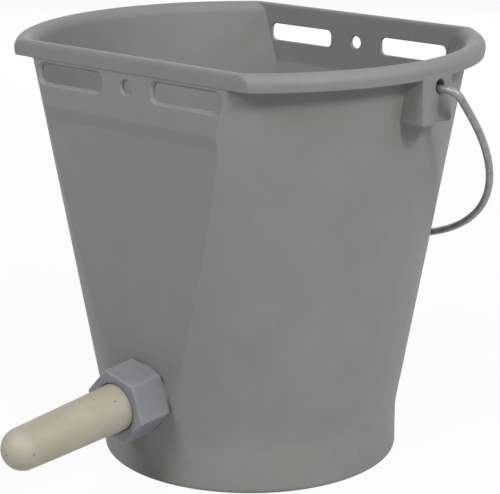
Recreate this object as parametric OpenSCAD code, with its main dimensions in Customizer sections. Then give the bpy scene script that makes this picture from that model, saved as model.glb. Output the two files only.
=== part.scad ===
// Calf feeder bucket: a moulded bucket with two flat panels, a wire bail,
// and a rubber teat held over a ball valve by a hexagonal union nut.
// Millimetres. The origin is the centre of the base, +Z is up, the teat points to -Y
// and the bail swings about an axis along X.

/* [Bucket] */
// Height from the ground to the top of the rim
bucket_h = 260; // [230:5:290]
// Outer radius of the round wall where it would meet the ground
wall_base_r = 87; // [84:1:90]
// Thickness of the wall
wall_t = 3; // [2:0.5:4]
// Thickness of the floor
floor_t = 4; // [3:0.5:6]
// Radius of the fillet between the floor and the wall, inside
floor_fillet = 6; // [3:1:10]

/* [Foot] */
// Outer radius of the straight foot band
foot_r = 92; // [91:0.5:95]
// Height of the foot band
foot_h = 27; // [20:1:30]
// Radius of the rounded bottom edge
foot_round = 3; // [1:0.5:5]
// Bevel between the foot band and the wall
foot_bevel = 2; // [1:0.5:3]

/* [Flat panels] */
// How far a panel's face lies inside the round wall at the height of the teat port
panel_inset = 2.13; // [1.5:0.01:5]
// Outward lean of a panel, in degrees
panel_lean = 3.25; // [3:0.25:5]
// Distance from the top of the rim down to the crease under the upright band
band_drop = 45.5; // [38:0.5:55]
// Height of the bevel from the crease to the upright band
band_bevel = 8; // [4:1:12]
// How far the upright band stands out from the panel at the crease
band_step = 1.9; // [1:0.1:3]

/* [Rim] */
// Outer radius of the turned-over lip
rim_r = 141; // [136:0.5:146]
// How far the lip stands out from the round wall at rim height
lip_reach = 9; // [7:0.5:12]
// Height of the lip, from its lower edge to its top
lip_h = 10; // [8:0.5:12]
// Thickness of the lip
lip_t = 3; // [2:0.5:4]
// Radius of the lip's outer top edge
lip_round = 4; // [2:0.5:5]
// Radius of the flare from the inside of the wall onto the lip
flare_r = 8; // [5:0.5:9]
// How far the rim stands out from the upright band along the panels
rim_bead = 1.4; // [0.8:0.2:2.4]

/* [Hanger slots] */
// Length of a slot, end to end
slot_len = 50.4; // [40:0.2:54]
// Height of a slot
slot_h = 11; // [8:0.5:13]
// Distance between the centres of the two slots of a panel
slot_spacing = 91.5; // [84:0.5:96]
// Diameter of the hole between the slots
hook_hole_d = 8; // [5:0.5:12]
// Distance from the top of the rim down to the centre of the slots and the hole
slot_drop = 18.5; // [17.5:0.5:24]

/* [Bail ears] */
// How far an ear reaches from the bail's pivot towards the teat
ear_front = 14.5; // [12:0.5:17]
// How far an ear reaches from the bail's pivot away from the teat
ear_back = 12.5; // [11:0.5:17]
// Height of an ear under the lip
ear_h = 26; // [20:1:32]
// Radius of the scoop in the ear's face under the bail hole
scoop_r = 9; // [6:0.5:12]
// Depth of that scoop
scoop_depth = 5; // [2:0.5:6]
// How far the scoop's middle lies behind the pivot
scoop_shift = 3; // [0:0.5:5]
// Diameter of the bail hole
ear_hole_d = 8; // [6:0.5:9]
// Plastic left between the bail hole and the lip's lower edge
ear_hole_cover = 0.8; // [0.6:0.2:3]
// Plastic left between the bail hole and the scoop
ear_hole_floor = 1.2; // [1:0.2:4]
// Skin left between the bottom of the bail hole and the bucket wall
ear_hole_skin = 1; // [0.6:0.2:2]

/* [Bail] */
// Diameter of the bail wire
wire_d = 4.5; // [3.5:0.25:5]
// Distance of the bail's legs from the outside of the lip
bail_reach = 11; // [10:0.5:18]
// Radius of the bend from a pivot end into its leg
bail_bend_r = 6; // [4:0.5:8]
// Length from the pivot to where the half-round bow begins
bail_leg = 20; // [15:1:40]
// Swing of the resting bail from upright towards the back panel, in degrees
bail_swing = 138; // [100:1:140]

/* [Teat port] */
// Height of the port's centre on the panel's face
port_z = 55.5; // [52:0.5:60]
// Outer radius of the valve body's threaded spigot
spigot_r = 16; // [14:0.5:16.5]
// Length of the spigot in front of the wall
spigot_len = 16.5; // [15:0.5:17]
// Pitch of the thread
thread_pitch = 3.5; // [2:0.5:5]
// Radius of the valve body's flange inside the bucket
flange_r = 21; // [19:0.5:22]
// Thickness of that flange
flange_t = 4; // [3:0.5:6]
// Thickness of the rubber gasket under the flange
gasket_t = 2; // [1:0.5:3]
// How far the gasket's edge lies inside the flange's edge
gasket_inset = 0.5; // [0.25:0.25:2]
// Thickness of the washer between the wall and the nut
washer_t = 1.5; // [1:0.25:3]
// Outer radius of that washer
washer_r = 20.5; // [19:0.25:22]
// How far the wall's flat pad reaches past that washer
pad_rim = 0.5; // [0.25:0.25:2]
// How far that pad's face stands out from the panel
pad_rise = 0.4; // [0.2:0.1:1]

/* [Ball valve] */
// Diameter of the loose ball
ball_d = 15; // [12:0.5:16]
// Radius of the inlet that the ball closes
inlet_r = 6; // [4:0.25:6.25]
// Radius of the retainer's seat in the spigot
retainer_r = 11; // [10.5:0.25:12]
// Thickness of the retainer
retainer_t = 4.5; // [3.5:0.5:5.5]
// How far the retainer lies behind the spigot's end
retainer_recess = 0.5; // [0.25:0.25:1]
// Width of the retainer's cross bars
bar_w = 2.4; // [1.6:0.2:3.2]
// Thickness of the cross bars
bar_t = 2.25; // [1.5:0.25:3]
// Length that the ball can travel
ball_travel = 3.4; // [2:0.2:4]

/* [Union nut] */
// Least thickness of the nut's wall, under its flats
nut_wall = 3; // [1.75:0.25:4]
// Thickness of the nut's front, which clamps the teat
nut_shoulder = 4.15; // [2:0.05:6]
// Turn of the tightened nut, in degrees
nut_turn = 46; // [0:1:59]
// Chamfer on the nut's front corners
nut_chamfer = 1.2; // [0.6:0.2:2]

/* [Teat] */
// Radius of the teat where it leaves the nut
teat_root_r = 14.25; // [12:0.25:14.5]
// Radius of the teat where its round tip begins
teat_tip_r = 12.6; // [10:0.2:13]
// Length of the teat in front of the nut
teat_len = 84; // [70:0.5:110]
// Thickness of the teat's rubber
teat_wall = 3.2; // [2.4:0.2:4]
// Thickness of the teat's clamped flange
teat_flange_t = 4; // [3:0.25:4.5]
// How far that flange stands out from the teat's root
teat_flange_w = 2.35; // [1.75:0.05:4]
// Radius of the milk hole in the tip
milk_hole_r = 1.5; // [1:0.25:3]

/* [Clearances] */
// Gap between parts that swing or lie loose and what they rest on
seat_gap = 0.3; // [0.2:0.05:0.6]
// Radial gap of a thread or of a push-in piece
thread_gap = 0.05; // [0.03:0.01:0.1]
// Radial gap of a part that passes through a hole
pass_gap = 0.4; // [0.2:0.1:0.8]

/* [Hidden] */
$fn = 128;
arc_steps = 12;
over = 1;

// Wall and panels
wall_top_r = rim_r - lip_reach;
wall_slope = (wall_top_r - wall_base_r) / bucket_h;
wall_lean = atan(wall_slope);
wall_level_t = wall_t / cos(wall_lean);
panel_level_t = wall_t / cos(panel_lean);
crease_z = bucket_h - band_drop;
function wall_r(z) = wall_base_r + z * wall_slope;
function inside_r(z) = wall_r(z) - wall_level_t;
port_y = wall_r(port_z) - panel_inset;
function panel_y(z) = port_y + (z - port_z) * tan(panel_lean);
band_y = panel_y(crease_z) + band_step;
rim_y = band_y + rim_bead;
lip_z = bucket_h - lip_h;
flare_z = bucket_h - flare_r + flare_r * sin(wall_lean);
flare_centre_r = inside_r(flare_z) + flare_r * cos(wall_lean);

// Slots and ears
slot_z = bucket_h - slot_drop;
ear_hole_z = lip_z - ear_hole_cover - ear_hole_d / 2;
ear_hole_bottom_r = wall_r(ear_hole_z + ear_hole_d / 2) + ear_hole_skin;
scoop_top_z = ear_hole_z - ear_hole_d / 2 - ear_hole_floor;

// Bail, drawn in its own plane with the pivot line as the X axis
pivot_z = ear_hole_z - (ear_hole_d - wire_d) / 2 + seat_gap;
bail_half_w = rim_r + bail_reach;
bail_tip_x = ear_hole_bottom_r + seat_gap;

// Valve, drawn along the port's axis with the pad's outer face at zero
port_r = spigot_r + pass_gap;
flange_back = -wall_t - gasket_t;
flange_front = flange_back - flange_t;
chamber_r = ball_d / 2 + pass_gap + seat_gap;
retainer_seat = spigot_len - retainer_t - retainer_recess;
ball_rest = retainer_seat - seat_gap - ball_d / 2;
ball_on_inlet = sqrt(ball_d * ball_d / 4 - inlet_r * inlet_r);
inlet_end = ball_rest - ball_travel - seat_gap - ball_on_inlet;
teat_seat = spigot_len;
teat_flange_end = teat_seat + teat_flange_t;
teat_flange_r = teat_root_r + teat_flange_w;
nut_bore_r = spigot_r + thread_gap;
nut_room_r = teat_flange_r + pass_gap;
nut_room_end = teat_flange_end + thread_gap;
nut_front = nut_room_end + nut_shoulder;
nut_corner_r = (max(nut_bore_r, nut_room_r) + nut_wall) / cos(30);
teat_round_at = nut_front + teat_len - teat_tip_r;

// Colours
bucket_grey = "#84847f";
nut_grey = "#7d7e84";
rubber_cream = "#b3aa92";
wire_grey = "#a5a7a8";
valve_white = "#d9d8d2";
seal_black = "#2c2c2c";

function unit(a) = [cos(a), sin(a)];
// Points of an arc about a centre, from one angle to another
function arc(centre, r, from, to) =
    [for (i = [0:arc_steps]) centre + r * unit(from + (to - from) * i / arc_steps)];

// A ring along the Z axis
module ring(outer, inner, from, to) {
    translate([0, 0, from])
        difference() {
            cylinder(h = to - from, r = outer);
            translate([0, 0, -over])
                cylinder(h = to - from + 2 * over, r = inner);
        }
}

// Places its children on the port's pad: +Z runs out of the bucket along the teat
module at_port() {
    translate([0, -port_y, port_z])
        rotate([90 + panel_lean, 0, 0])
            translate([0, 0, pad_rise])
                children();
}

// A slab between the two panels, from a half outline of distances and heights
module between_panels(half) {
    outline = concat(half, [for (i = [len(half) - 1:-1:0]) [-half[i].x, half[i].y]]);
    rotate([90, 0, 90])
        linear_extrude(height = 4 * rim_r, center = true)
            polygon(outline);
}

module wall_outside() {
    intersection() {
        rotate_extrude()
            polygon([[0, 0], [wall_r(0), 0], [wall_r(bucket_h), bucket_h], [0, bucket_h]]);
        between_panels([[panel_y(0), 0], [panel_y(crease_z), crease_z],
                        [band_y, crease_z + band_bevel], [band_y, bucket_h]]);
    }
}

module foot() {
    rotate_extrude()
        polygon(concat(
            [[0, 0]],
            arc([foot_r - foot_round, foot_round], foot_round, -90, 0),
            [[foot_r, foot_h], [foot_r - foot_bevel, foot_h + foot_bevel],
             [0, foot_h + foot_bevel]]));
}

// Outline of the lip's top and outer side, from its lower edge inwards
lip_edge = concat(
    [[rim_r, lip_z]],
    arc([rim_r - lip_round, bucket_h - lip_round], lip_round, 0, 90));

module rim() {
    inner = inside_r(lip_z);
    intersection() {
        rotate_extrude()
            polygon(concat(
                lip_edge,
                [[inner, bucket_h], [inner, bucket_h - lip_t],
                 [rim_r - lip_t, bucket_h - lip_t], [rim_r - lip_t, lip_z]]));
        cube([4 * rim_r, 2 * rim_y, 4 * bucket_h], center = true);
    }
    for (side = [-1, 1])
        intersection() {
            rotate_extrude()
                polygon(concat(lip_edge, [[0, bucket_h], [0, lip_z]]));
            translate([0, side * (rim_y + band_y - wall_t) / 2, 0])
                cube([4 * rim_r, rim_y - band_y + wall_t, 4 * bucket_h], center = true);
        }
}

// An ear: a block under the lip, scooped out below the bail hole
module ear() {
    ear_z = lip_z - ear_h;
    difference() {
        intersection() {
            cylinder(h = bucket_h, r = rim_r);
            translate([wall_r(0), -ear_front, ear_z])
                cube([rim_r - wall_r(0), ear_front + ear_back, bucket_h - lip_t / 2 - ear_z]);
        }
        translate([rim_r - scoop_depth + scoop_r, scoop_shift, 0])
            cylinder(h = scoop_top_z, r = scoop_r);
    }
}

module ear_hole() {
    translate([ear_hole_bottom_r, 0, ear_hole_z])
        rotate([0, 90, 0])
            cylinder(h = rim_r, d = ear_hole_d);
}

module inside() {
    intersection() {
        rotate_extrude()
            polygon(concat(
                [[0, floor_t]],
                arc([inside_r(floor_t + floor_fillet) - floor_fillet, floor_t + floor_fillet],
                    floor_fillet, -90, 0),
                arc([flare_centre_r, bucket_h - flare_r], flare_r, 180 - wall_lean, 90),
                [[flare_centre_r, bucket_h + over], [0, bucket_h + over]]));
        between_panels([[panel_y(0) - panel_level_t, 0],
                        [panel_y(crease_z) - panel_level_t, crease_z],
                        [band_y - wall_t, crease_z + band_bevel],
                        [band_y - wall_t, bucket_h + 2 * over]]);
    }
}

// The two slots and the hole of both panels
module hanger_holes() {
    reach = 4 * rim_y;
    end_x = (slot_len - slot_h) / 2;
    for (side = [-1, 1])
        translate([side * slot_spacing / 2, 0, slot_z]) {
            cube([2 * end_x, reach, slot_h], center = true);
            for (end = [-1, 1])
                translate([end * end_x, 0, 0])
                    rotate([90, 0, 0])
                        cylinder(h = reach, d = slot_h, center = true);
        }
    translate([0, 0, slot_z])
        rotate([90, 0, 0])
            cylinder(h = reach, d = hook_hole_d, center = true);
}

module bucket_body() {
    color(bucket_grey)
        difference() {
            union() {
                wall_outside();
                foot();
                rim();
                ear();
                mirror([1, 0, 0]) ear();
                at_port()
                    translate([0, 0, -wall_t / 2])
                        cylinder(h = wall_t / 2, r = washer_r + pad_rim);
            }
            inside();
            hanger_holes();
            ear_hole();
            mirror([1, 0, 0]) ear_hole();
            at_port()
                translate([0, 0, -wall_t - flange_r]) {
                    cylinder(h = 2 * flange_r, r = port_r);
                    cylinder(h = flange_r, r = flange_r + pass_gap);
                }
        }
}

// A length of wire bent about a centre in the bail's plane
module wire_arc(centre, r, from, to) {
    translate(centre)
        rotate(from)
            rotate_extrude(angle = to - from)
                translate([r, 0]) circle(d = wire_d);
}

// A pivot end, its bend and its leg
module bail_side() {
    bend_x = bail_half_w - bail_bend_r;
    translate([bend_x, 0, 0])
        rotate(90)
            rotate([-90, 0, 0])
                cylinder(h = bend_x - bail_tip_x, d = wire_d);
    wire_arc([bend_x, bail_bend_r], bail_bend_r, -90, 0);
    translate([bail_half_w, bail_bend_r, 0])
        rotate([-90, 0, 0])
            cylinder(h = bail_leg - bail_bend_r, d = wire_d);
}

module bail() {
    color(wire_grey)
        translate([0, 0, pivot_z])
            rotate([90 - bail_swing, 0, 0]) {
                bail_side();
                mirror([1, 0, 0]) bail_side();
                wire_arc([0, bail_leg], bail_half_w, 0, 180);
            }
}

module valve_body() {
    color(valve_white)
        at_port()
            rotate_extrude()
                polygon([[inlet_r, flange_front], [flange_r, flange_front],
                         [flange_r, flange_back], [spigot_r, flange_back],
                         [spigot_r, spigot_len], [retainer_r, spigot_len],
                         [retainer_r, retainer_seat], [chamber_r, retainer_seat],
                         [chamber_r, inlet_end], [inlet_r, inlet_end]]);
}

module inner_gasket() {
    color(seal_black)
        at_port()
            ring(flange_r - gasket_inset, port_r, flange_back, -wall_t);
}

module outer_washer() {
    color(nut_grey)
        at_port()
            ring(washer_r, port_r, 0, washer_t);
}

module ball_retainer() {
    bars = chamber_r + retainer_r;
    color(valve_white)
        at_port() {
            ring(retainer_r - thread_gap, chamber_r, retainer_seat, retainer_seat + retainer_t);
            translate([0, 0, retainer_seat + bar_t / 2])
                for (turn = [0, 90])
                    rotate(turn)
                        cube([bars, bar_w, bar_t], center = true);
        }
}

module valve_ball() {
    color(seal_black)
        at_port()
            translate([0, 0, ball_rest])
                sphere(d = ball_d);
}

module teat() {
    inner_r = teat_tip_r - teat_wall;
    inner_root_r = teat_root_r - teat_wall;
    color(rubber_cream)
        at_port()
            rotate_extrude()
                polygon(concat(
                    [[inner_root_r, teat_seat], [teat_flange_r, teat_seat],
                     [teat_flange_r, teat_flange_end], [teat_root_r, teat_flange_end],
                     [teat_root_r, nut_front]],
                    arc([0, teat_round_at], teat_tip_r, 0, acos(milk_hole_r / teat_tip_r)),
                    arc([0, teat_round_at], inner_r, acos(milk_hole_r / inner_r), 0)));
}

module union_nut() {
    color(nut_grey)
        at_port()
            difference() {
                intersection() {
                    translate([0, 0, washer_t])
                        rotate(nut_turn)
                            cylinder(h = nut_front - washer_t, r = nut_corner_r, $fn = 6);
                    rotate_extrude()
                        polygon([[0, 0], [nut_corner_r + over, 0],
                                 [nut_corner_r + over, nut_front - nut_chamfer - over],
                                 [nut_corner_r - nut_chamfer, nut_front], [0, nut_front]]);
                }
                cylinder(h = 2 * nut_front, r = teat_root_r + pass_gap);
                cylinder(h = spigot_len, r = nut_bore_r);
                translate([0, 0, teat_seat - thread_pitch / 2])
                    cylinder(h = nut_room_end - teat_seat + thread_pitch / 2, r = nut_room_r);
            }
}

bucket_body();
bail();
valve_body();
inner_gasket();
outer_washer();
ball_retainer();
valve_ball();
teat();
union_nut();
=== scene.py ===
import math

import bmesh
import bpy
import numpy as np
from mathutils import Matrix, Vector, noise


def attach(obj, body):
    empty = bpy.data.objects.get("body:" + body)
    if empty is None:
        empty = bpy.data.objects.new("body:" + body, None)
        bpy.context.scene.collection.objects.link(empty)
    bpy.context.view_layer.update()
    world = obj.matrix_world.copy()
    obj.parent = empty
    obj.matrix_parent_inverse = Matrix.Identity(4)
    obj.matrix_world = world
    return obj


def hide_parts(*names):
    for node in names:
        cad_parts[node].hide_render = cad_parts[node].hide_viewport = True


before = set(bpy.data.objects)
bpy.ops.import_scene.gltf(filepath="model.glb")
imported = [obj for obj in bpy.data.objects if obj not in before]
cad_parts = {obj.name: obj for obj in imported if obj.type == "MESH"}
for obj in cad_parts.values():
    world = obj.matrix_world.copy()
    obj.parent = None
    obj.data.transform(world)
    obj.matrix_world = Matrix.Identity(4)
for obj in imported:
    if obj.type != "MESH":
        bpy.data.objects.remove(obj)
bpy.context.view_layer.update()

# A millimetre in the scene's metres
MM = 0.001

# Driving sizes in millimetres, the same as the solids have
BUCKET_H = 260.0
WALL_BASE_R = 87.0
WALL_T = 3.0
FLOOR_T = 4.0
FLOOR_FILLET = 6.0
FOOT_R = 92.0
FOOT_ROUND = 3.0
PANEL_INSET = 2.13
PANEL_LEAN = math.radians(3.25)
BAND_DROP = 45.5
BAND_BEVEL = 8.0
BAND_STEP = 1.9
RIM_R = 141.0
LIP_REACH = 9.0
LIP_H = 10.0
FLARE_R = 8.0
RIM_BEAD = 1.4
SLOT_LEN = 50.4
SLOT_H = 11.0
SLOT_ROUND = 3.6
SLOT_SPACING = 91.5
SLOT_DROP = 18.5
HOOK_HOLE_R = 4.0
EAR_FRONT = 14.5
EAR_BACK = 12.5
EAR_H = 26.0
SCOOP_R = 9.0
SCOOP_DEPTH = 5.0
SCOOP_SHIFT = 3.0
EAR_HOLE_R = 4.0
EAR_HOLE_COVER = 0.8
EAR_HOLE_SKIN = 1.0
WIRE_R = 2.25
BAIL_REACH = 11.0
BAIL_BEND_R = 6.0
BAIL_LEG = 20.0
BAIL_SWING = math.radians(138.0)
PORT_Z = 55.5
PAD_RISE = 0.4
SPIGOT_R = 16.0
SPIGOT_LEN = 16.5
THREAD_PITCH = 3.5
FLANGE_R = 21.0
FLANGE_T = 4.0
GASKET_T = 2.0
GASKET_INSET = 0.5
WASHER_T = 1.5
WASHER_R = 20.5
BALL_R = 7.5
BALL_TRAVEL = 3.4
INLET_R = 6.0
RETAINER_R = 11.0
RETAINER_T = 4.5
RETAINER_RECESS = 0.5
BAR_W = 2.4
BAR_T = 2.25
NUT_WALL = 3.0
NUT_SHOULDER = 4.15
NUT_TURN = math.radians(46.0)
NUT_CHAMFER = 1.2
TEAT_ROOT_R = 14.25
TEAT_TIP_R = 12.6
TEAT_LEN = 84.0
TEAT_WALL = 3.2
TEAT_FLANGE_T = 4.0
TEAT_FLANGE_W = 2.35
MILK_HOLE_R = 1.5
MOUTH_R = 0.6
SEAT_GAP = 0.3
THREAD_GAP = 0.05
PASS_GAP = 0.4

# Sizes that follow from them
WALL_TOP_R = RIM_R - LIP_REACH
SLOPE = (WALL_TOP_R - WALL_BASE_R) / BUCKET_H
WALL_LEAN = math.atan(SLOPE)
CREASE_Z = BUCKET_H - BAND_DROP
LIP_Z = BUCKET_H - LIP_H
SLOT_Z = BUCKET_H - SLOT_DROP
EAR_Z = LIP_Z - EAR_H
EAR_HOLE_Z = LIP_Z - EAR_HOLE_COVER - EAR_HOLE_R
PIVOT_Z = EAR_HOLE_Z - EAR_HOLE_R + WIRE_R + SEAT_GAP
BAIL_HALF_W = RIM_R + BAIL_REACH
PORT_R = SPIGOT_R + PASS_GAP
FLANGE_BACK = -WALL_T - GASKET_T
FLANGE_FRONT = FLANGE_BACK - FLANGE_T
CHAMBER_R = BALL_R + PASS_GAP + SEAT_GAP
RETAINER_SEAT = SPIGOT_LEN - RETAINER_T - RETAINER_RECESS
BALL_REST = RETAINER_SEAT - SEAT_GAP - BALL_R
INLET_END = BALL_REST - BALL_TRAVEL - SEAT_GAP - math.sqrt(BALL_R ** 2 - INLET_R ** 2)
TEAT_SEAT = SPIGOT_LEN
TEAT_FLANGE_END = TEAT_SEAT + TEAT_FLANGE_T
TEAT_FLANGE_R = TEAT_ROOT_R + TEAT_FLANGE_W
TEAT_PASS_R = TEAT_ROOT_R + PASS_GAP
NUT_BORE_R = SPIGOT_R + THREAD_GAP
NUT_ROOM_R = TEAT_FLANGE_R + PASS_GAP
NUT_ROOM_FROM = TEAT_SEAT - THREAD_PITCH / 2
NUT_ROOM_TO = TEAT_FLANGE_END + THREAD_GAP
NUT_FRONT = NUT_ROOM_TO + NUT_SHOULDER
NUT_HALF_AF = max(NUT_BORE_R, NUT_ROOM_R) + NUT_WALL
NUT_CORNER_R = NUT_HALF_AF / math.cos(math.radians(30))
# The washer and the pad under it stay just behind the nut's flats
BEHIND_FLATS = 0.5
HIDDEN_R = min(WASHER_R, NUT_HALF_AF - BEHIND_FLATS)
TEAT_ROUND_AT = NUT_FRONT + TEAT_LEN - TEAT_TIP_R


def wall_r(z):
    return WALL_BASE_R + z * SLOPE


def inside_r(z):
    return wall_r(z) - WALL_T / math.cos(WALL_LEAN)


PORT_Y = wall_r(PORT_Z) - PANEL_INSET
# Turn about X from +Z to the port's axis
PORT_TURN = math.radians(90.0) + PANEL_LEAN


def panel_y(z):
    return PORT_Y + (z - PORT_Z) * math.tan(PANEL_LEAN)


BAND_Y = panel_y(CREASE_Z) + BAND_STEP
RIM_Y = BAND_Y + RIM_BEAD
# Half the height over which a flat's creases are eased
CREASE_EASE = 1.2


def face_y(z):
    """Distance of a flat's outer face at a height, its creases eased a little."""
    z = z + np.linspace(-CREASE_EASE, CREASE_EASE, 25)
    rise = np.clip((z - CREASE_Z) / BAND_BEVEL, 0.0, 1.0)
    sheer = panel_y(np.minimum(z, CREASE_Z))
    return float(np.mean(sheer + rise * (BAND_Y - panel_y(CREASE_Z))))


# Mesh helpers
def new_object(name, verts, faces):
    mesh = bpy.data.meshes.new(name)
    mesh.from_pydata([tuple(v) for v in np.asarray(verts) * MM], [], faces)
    mesh.validate()
    obj = bpy.data.objects.new(name, mesh)
    bpy.context.scene.collection.objects.link(obj)
    return obj


def grid(rows, first_cap=False, last_cap=False, closed=False):
    """Quads over rows of points that each go once round; closed joins the last row to the first."""
    rows = np.asarray(rows, float)
    count, width = rows.shape[:2]
    faces = []
    for j in range(count if closed else count - 1):
        a, b = j * width, (j + 1) % count * width
        for i in range(width):
            k = (i + 1) % width
            faces.append((a + i, a + k, b + k, b + i))
    if first_cap:
        faces.append(tuple(range(width - 1, -1, -1)))
    if last_cap:
        faces.append(tuple(range((count - 1) * width, count * width)))
    return rows.reshape(-1, 3), faces


def clean(obj, merge=0.00001):
    """Merges doubled points, drops empty faces and turns every face outwards."""
    bm = bmesh.new()
    bm.from_mesh(obj.data)
    bmesh.ops.remove_doubles(bm, verts=bm.verts, dist=merge)
    bmesh.ops.dissolve_degenerate(bm, edges=bm.edges, dist=merge / 4)
    bmesh.ops.recalc_face_normals(bm, faces=bm.faces)
    bm.to_mesh(obj.data)
    bm.free()
    return obj


def boolean(obj, other, operation):
    """Bakes one exact boolean into obj's mesh and removes the other object."""
    step = obj.modifiers.new("cut", "BOOLEAN")
    step.operation = operation
    step.solver = "EXACT"
    step.object = other
    graph = bpy.context.evaluated_depsgraph_get()
    made = bpy.data.meshes.new_from_object(obj.evaluated_get(graph))
    obj.modifiers.clear()
    old = obj.data
    obj.data = made
    bpy.data.meshes.remove(old)
    bpy.data.objects.remove(other)
    return obj


def join(objs, name):
    """One object of several separate shells."""
    bm = bmesh.new()
    for obj in objs:
        bm.from_mesh(obj.data)
    mesh = bpy.data.meshes.new(name)
    bm.to_mesh(mesh)
    bm.free()
    for obj in objs:
        bpy.data.objects.remove(obj)
    whole = bpy.data.objects.new(name, mesh)
    bpy.context.scene.collection.objects.link(whole)
    return whole


def smooth(obj, angle=38.0):
    for face in obj.data.polygons:
        face.use_smooth = True
    obj.data.set_sharp_from_angle(angle=math.radians(angle))
    weighted = obj.modifiers.new("normals", "WEIGHTED_NORMAL")
    weighted.keep_sharp = True
    weighted.weight = 70
    return obj


def to_port(points):
    """From the port's own axes, +Z out along the teat, to the shared frame."""
    points = np.asarray(points, float)
    x, y, z = points[..., 0], points[..., 1], points[..., 2] + PAD_RISE
    return np.stack([
        x,
        y * math.cos(PORT_TURN) - z * math.sin(PORT_TURN) - PORT_Y,
        y * math.sin(PORT_TURN) + z * math.cos(PORT_TURN) + PORT_Z,
    ], axis=-1)


def lathe(profile, count=72):
    """Rows of a closed or open profile of radius and height turned about +Z."""
    angle = np.arange(count) * 2 * math.pi / count
    return np.array([
        np.stack([r * np.cos(angle), r * np.sin(angle), np.full(count, z)], axis=-1)
        for r, z in profile
    ])


def bend(centre, radius, start, end, steps):
    """Points of an arc in a profile, in degrees."""
    angle = np.radians(np.linspace(start, end, steps + 1))
    return [(centre[0] + radius * math.cos(a), centre[1] + radius * math.sin(a)) for a in angle]


def turned(name, profile, count=72):
    """A closed turned piece on the port's axis, from its profile of radius and distance."""
    verts, faces = grid(to_port(lathe(profile, count)), closed=True)
    return clean(new_object(name, verts, faces))


def plug(profile, count=72):
    """A turned piece without a bore, closed at both ends."""
    verts, faces = grid(to_port(lathe(profile, count)), True, True)
    return clean(new_object("plug", verts, faces))


# Camera, at the photograph's angle, in metres and in pixels of the picture
SENSOR_W = 36.0
PICTURE_W_PX = 500.0
FOCAL_LENGTH_PX = 1836.31
CAMERA_AZIMUTH = math.radians(41.51)
CAMERA_AWAY = 1.09697
CAMERA_Z = 0.43583
AIM_Z = 0.12632

camera_data = bpy.data.cameras.new("camera")
camera_data.sensor_width = SENSOR_W
camera_data.lens = FOCAL_LENGTH_PX / PICTURE_W_PX * SENSOR_W
camera = bpy.data.objects.new("camera", camera_data)
bpy.context.scene.collection.objects.link(camera)
camera.location = (CAMERA_AWAY * math.sin(CAMERA_AZIMUTH), -CAMERA_AWAY * math.cos(CAMERA_AZIMUTH), CAMERA_Z)
aim = Vector((0.0, 0.0, AIM_Z)) - camera.location
camera.rotation_mode = "QUATERNION"
camera.rotation_quaternion = aim.to_track_quat("-Z", "Y")
camera_data.clip_start = 0.02
camera_data.clip_end = 50.0
bpy.context.scene.camera = camera


# Bucket: level outlines of a round wall cut by two flats, joined into one skin
# Steps of a quarter's arc, of its eased corner and of its half flat
ARC, EASE, FLAT = 24, 5, 7
# Radii of the eased corner: outside, inside, along the rim's edge and in the mouth
CORNER, INNER_CORNER, RIM_CORNER, MOUTH_CORNER = 2.6, 1.3, 1.5, 2.4
# The lip's roll, in section: centre, reach outwards and reach upwards
ROLL_R, ROLL_Z, ROLL_A, ROLL_B = 135.1, 254.3, 5.8, 5.7
# The lip's lower edge: its radius on the round sides, and how far it stands back from the rim's face on the flats
LIP_EDGE_R, LIP_EDGE_INSET = 139.7, 1.15
# Height at which the wall runs into the channel under the lip
CHANNEL_Z = 249.0
# Heights of the wall's rows, closer at the band's creases; below the lowest one the flats run out into the foot
FLAT_FROM = 46.0
WALL_HEIGHTS = [
    FLAT_FROM, 50, 55.5, 65, 80, 100, 125, 150, 175, 195, 208, 212, 213.3, 214.1, 214.9, 215.7, 217, 219,
    220.5, 221.3, 222.1, 222.9, 223.7, 225, 228, 232, 237, 242, 246.5,
]
INSIDE_HEIGHTS = [
    249, 243, 236, 230, 226, 224, 223, 222.2, 221.4, 220.5, 219, 217, 215.7, 214.9, 214.1, 213.3, 212, 208,
    195, 175, 150, 125, 100, 80, 65, 55.5, 50, FLAT_FROM,
]


def quadrant(radius, flat, corner):
    """Points of one quarter, from the round side to the middle of the flat, the arc's end twice."""
    flat = min(flat, radius - 0.0001)
    corner = min(corner, flat * 0.5)
    cx = math.sqrt(max((radius - corner) ** 2 - (flat - corner) ** 2, 1e-9))
    end = math.atan2(flat - corner, cx)
    points = [(radius * math.cos(end * i / ARC), radius * math.sin(end * i / ARC)) for i in range(ARC + 1)]
    points.append(points[-1])
    for i in range(1, EASE + 1):
        a = end + (math.pi / 2 - end) * i / EASE
        points.append((cx + corner * math.cos(a), flat - corner + corner * math.sin(a)))
    points += [(cx * (1 - i / FLAT), flat) for i in range(1, FLAT + 1)]
    return np.array(points)


# How far each point of a quarter belongs to the flat, from 0 on the round side to 1
SHARE = np.concatenate([
    np.zeros(ARC + 2),
    [0.5 - 0.5 * math.cos(math.pi * i / EASE) for i in range(1, EASE + 1)],
    np.ones(FLAT),
])


def all_round(points, heights):
    """One quarter's points and heights, mirrored into a whole loop."""
    quarter = np.column_stack([points, heights])
    second = (quarter * (-1, 1, 1))[::-1][1:]
    third = (quarter * (-1, -1, 1))[1:]
    fourth = (quarter * (1, -1, 1))[::-1][1:-1]
    return np.concatenate([quarter, second, third, fourth])


def level(radius, flat, corner, round_z, flat_z=None):
    flat_z = round_z if flat_z is None else flat_z
    return all_round(quadrant(radius, flat, corner), round_z + SHARE * (flat_z - round_z))


def directions(row):
    return row[:, :2] / np.linalg.norm(row[:, :2], axis=1)[:, None]


def ring(like, radius, z):
    """A full circle whose points lie in the directions of another row's."""
    return np.column_stack([directions(like) * radius, np.full(len(like), z)])


def polar(like, radius, flat, z):
    """A round row cut by the flats, with its points in the directions of another row's."""
    way = directions(like)
    reach = np.minimum(radius, flat / np.maximum(np.abs(way[:, 1]), 1e-6))
    return np.column_stack([way * reach[:, None], np.full(len(like), z)])


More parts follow.
